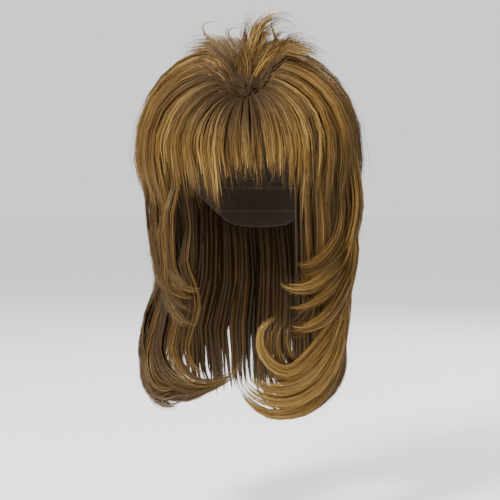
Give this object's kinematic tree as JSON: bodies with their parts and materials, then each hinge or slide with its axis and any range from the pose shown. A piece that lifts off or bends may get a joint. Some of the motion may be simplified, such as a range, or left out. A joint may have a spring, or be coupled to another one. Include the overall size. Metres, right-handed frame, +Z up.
{
  "type": "shaggy layered wig",
  "caption": "Honey-brown shag wig in worn form: a fitted cap with a pointed fringe, a raised crown and tiers of locks that flick out and curl in at the ends.",
  "frame": {"origin": "inside top of the cap, where the crown of a head meets it", "axes": "+Z up through the crown, the face opening looks along -Y, and +X is the viewer's right (the wearer's left)"},
  "size_m": [0.2411, 0.2517, 0.4212],
  "materials": {
    "cap_mesh": "dark brown stretch mesh with sewn wefts",
    "hair_light": "satin synthetic hair, golden brown over darker roots",
    "hair_mid": "satin synthetic hair, mid brown with golden ends",
    "hair_long": "satin synthetic hair, honey blonde at the curled ends"
  },
  "bodies": {
    "root": {"wig_cap": "cap_mesh", "fringe": "hair_light", "crown_layer": "hair_light", "top_layer_left": "hair_light", "top_layer_right": "hair_light", "top_layer_back": "hair_light", "middle_layer_left": "hair_mid", "middle_layer_right": "hair_mid", "middle_layer_back": "hair_mid", "lower_layer_left": "hair_long", "lower_layer_right": "hair_long", "lower_layer_back": "hair_long"}
  },
  "joints": []
}
